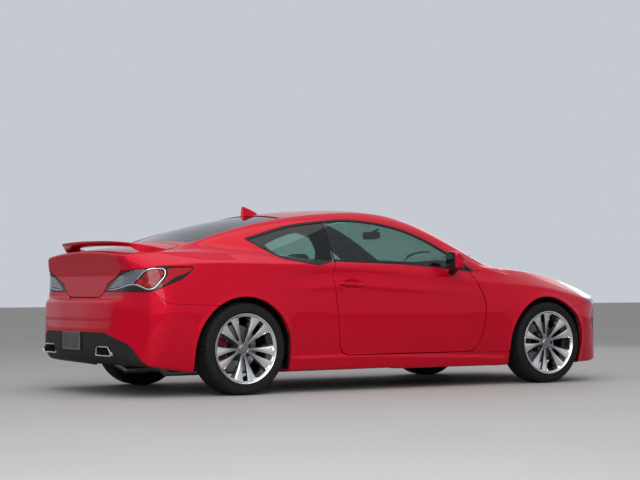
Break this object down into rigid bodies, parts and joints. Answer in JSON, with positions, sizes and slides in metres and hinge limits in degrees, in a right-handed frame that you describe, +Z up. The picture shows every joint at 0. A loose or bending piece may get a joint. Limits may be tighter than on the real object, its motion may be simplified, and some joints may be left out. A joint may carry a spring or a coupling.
{
  "type": "coupe car",
  "caption": "Low two-door coupe with long doors, sloping roof, rear spoiler, twin-spoke wheels, steering, opening doors, hood and trunk lid.",
  "frame": {"origin": "on the ground under the middle of the overall box", "axes": "+X forward, +Y to the car's left, +Z up"},
  "size_m": [4.6294, 2.024, 1.4005],
  "materials": {
    "red_paint": "metallic clear coat",
    "black_plastic": "fine grain",
    "headlamp_lens": "clear cover over bright reflectors",
    "tail_lamp_lens": "red and clear cover",
    "window_glass": "clear with a light tint",
    "seat_cloth": "dark cloth",
    "dark_steel": "satin coat",
    "bright_steel": "dull",
    "plate_white": "blank",
    "tyre_rubber": "matte",
    "wheel_alloy": "machined face, dark pockets",
    "disc_iron": "turned",
    "cast_upright": "upright with painted caliper"
  },
  "bodies": {
    "body": {"antenna_fin": "red_paint", "body_side_left": "red_paint", "body_side_right": "red_paint", "cowl_panel": "black_plastic", "dashboard": "black_plastic", "engine_block": "dark_steel", "exhaust": "bright_steel", "floor_pan": "dark_steel", "front_bumper": "red_paint", "front_fenders": "red_paint", "front_seats": "seat_cloth", "front_subframe": "dark_steel", "grille": "black_plastic", "headlamps": "headlamp_lens", "number_plate": "plate_white", "quarter_glasses": "window_glass", "rear_bumper": "red_paint", "rear_diffuser": "black_plastic", "rear_knuckles": "cast_upright", "rear_seat": "seat_cloth", "rear_shelf": "seat_cloth", "rear_subframe": "dark_steel", "rear_window": "window_glass", "roof_panel": "red_paint", "steering_wheel": "black_plastic", "struts": "dark_steel", "tail_lamps": "tail_lamp_lens", "wheel_liners": "black_plastic", "windshield": "window_glass"},
    "hood": {"hood": "red_paint"},
    "trunk_lid": {"trunk_lid": "red_paint", "rear_spoiler": "red_paint"},
    "door_left": {"door_left": "red_paint", "door_glass_left": "window_glass", "door_mirror_left": "red_paint"},
    "door_right": {"door_right": "red_paint", "door_glass_right": "window_glass", "door_mirror_right": "red_paint"},
    "knuckle_left": {"front_knuckle_left": "cast_upright"},
    "wheel_front_left": {"tyre_front_left": "tyre_rubber", "wheel_rim_front_left": "wheel_alloy", "brake_disc_front_left": "disc_iron"},
    "wheel_rear_left": {"tyre_rear_left": "tyre_rubber", "wheel_rim_rear_left": "wheel_alloy", "brake_disc_rear_left": "disc_iron"},
    "knuckle_right": {"front_knuckle_right": "cast_upright"},
    "wheel_front_right": {"tyre_front_right": "tyre_rubber", "wheel_rim_front_right": "wheel_alloy", "brake_disc_front_right": "disc_iron"},
    "wheel_rear_right": {"tyre_rear_right": "tyre_rubber", "wheel_rim_rear_right": "wheel_alloy", "brake_disc_rear_right": "disc_iron"}
  },
  "joints": [
    {"name": "hood_hinge", "type": "hinge", "parent": "body", "child": "hood", "pos_m": [1.095, 0, 0.903], "axis": [0, -1, 0], "range_deg": [0, 42]},
    {"name": "trunk_hinge", "type": "hinge", "parent": "body", "child": "trunk_lid", "pos_m": [-1.5, 0, 0.985], "axis": [0, 1, 0], "range_deg": [0, 55]},
    {"name": "door_left_hinge", "type": "hinge", "parent": "body", "child": "door_left", "pos_m": [0.73, 0.872, 0.56], "axis": [0, 0, -1], "range_deg": [0, 62]},
    {"name": "door_right_hinge", "type": "hinge", "parent": "body", "child": "door_right", "pos_m": [0.73, -0.872, 0.56], "axis": [0, 0, 1], "range_deg": [0, 62]},
    {"name": "steer_left", "type": "hinge", "parent": "body", "child": "knuckle_left", "pos_m": [1.465, 0.672, 0.326], "axis": [0, 0, 1], "range_deg": [-33, 33]},
    {"name": "roll_front_left", "type": "hinge", "parent": "knuckle_left", "child": "wheel_front_left", "pos_m": [1.465, 0.795, 0.326], "axis": [0, 1, 0], "continuous": true},
    {"name": "roll_rear_left", "type": "hinge", "parent": "body", "child": "wheel_rear_left", "pos_m": [-1.355, 0.799, 0.333], "axis": [0, 1, 0], "continuous": true},
    {"name": "steer_right", "type": "hinge", "parent": "body", "child": "knuckle_right", "pos_m": [1.465, -0.672, 0.326], "axis": [0, 0, 1], "range_deg": [-33, 33]},
    {"name": "roll_front_right", "type": "hinge", "parent": "knuckle_right", "child": "wheel_front_right", "pos_m": [1.465, -0.795, 0.326], "axis": [0, 1, 0], "continuous": true},
    {"name": "roll_rear_right", "type": "hinge", "parent": "body", "child": "wheel_rear_right", "pos_m": [-1.355, -0.799, 0.333], "axis": [0, 1, 0], "continuous": true}
  ],
  "couplings": [
    {"joint": "steer_right", "follows": "steer_left", "ratio": 1}
  ]
}
